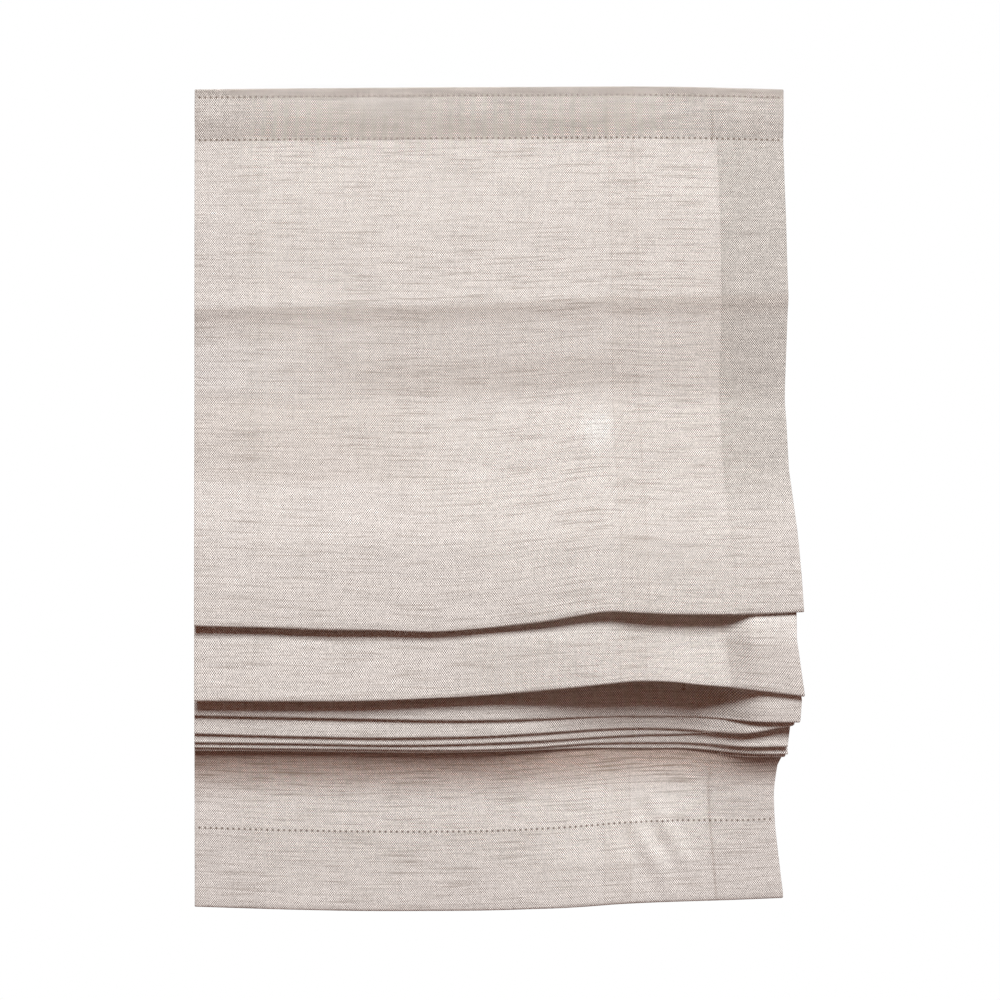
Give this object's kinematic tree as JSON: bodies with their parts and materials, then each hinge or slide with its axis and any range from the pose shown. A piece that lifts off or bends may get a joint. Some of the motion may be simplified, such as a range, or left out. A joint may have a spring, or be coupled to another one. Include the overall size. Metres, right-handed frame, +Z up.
{
  "type": "roman blind",
  "caption": "Linen roman blind, partly raised: a plain panel over soft stacked folds, with hemmed edges, hung by fastening tape from a slim wall-fixed headrail with a geared cord lift.",
  "frame": {"origin": "on the wall, midway between the two wall screws", "axes": "+Z up, -Y out of the wall towards the room, +X to the right seen from the room"},
  "size_m": [0.4586, 0.0883, 0.6298],
  "materials": {
    "linen": "matt, plain weave with slubs",
    "woven_tape": "matt, woven",
    "fastening_tape": "matt",
    "cord": "matt, braided",
    "white_rail": "satin",
    "bare_aluminium": "satin",
    "steel": "zinc plated",
    "white_plastic": "matt",
    "grey_plastic": "matt",
    "rod_plastic": "drawn fibreglass"
  },
  "bodies": {
    "blind": {"blind_cloth": "linen", "lift_tape_left": "woven_tape", "lift_tape_right": "woven_tape", "loop_tape": "fastening_tape", "hook_tape": "fastening_tape", "rod_1": "rod_plastic", "rod_2": "rod_plastic", "rod_3": "rod_plastic", "rod_4": "rod_plastic", "rod_5": "rod_plastic", "rod_6": "rod_plastic", "rod_7": "rod_plastic", "rod_8": "rod_plastic", "cord_eyes_left": "white_plastic", "cord_eyes_right": "white_plastic", "lift_cord_left": "cord", "lift_cord_right": "cord", "cord_stop_left": "white_plastic", "cord_stop_right": "white_plastic", "bottom_bar": "bare_aluminium", "headrail": "white_rail", "bracket_left": "steel", "bracket_right": "steel", "bracket_screws": "steel", "drum_cradle_left": "white_plastic", "drum_cradle_right": "white_plastic", "drive_housing": "white_plastic", "housing_cover": "white_plastic", "end_cap": "white_plastic"},
    "drive": {"drive_shaft": "bare_aluminium", "drive_wheel": "grey_plastic", "cord_drum_left": "grey_plastic", "cord_drum_right": "grey_plastic", "cord_wrap_left": "cord", "cord_wrap_right": "cord"}
  },
  "joints": [
    {"name": "drive_turn", "type": "hinge", "parent": "blind", "child": "drive", "pos_m": [0, -0.0182, -0.006], "axis": [1, 0, 0], "range_deg": [-10440, 1740]}
  ]
}
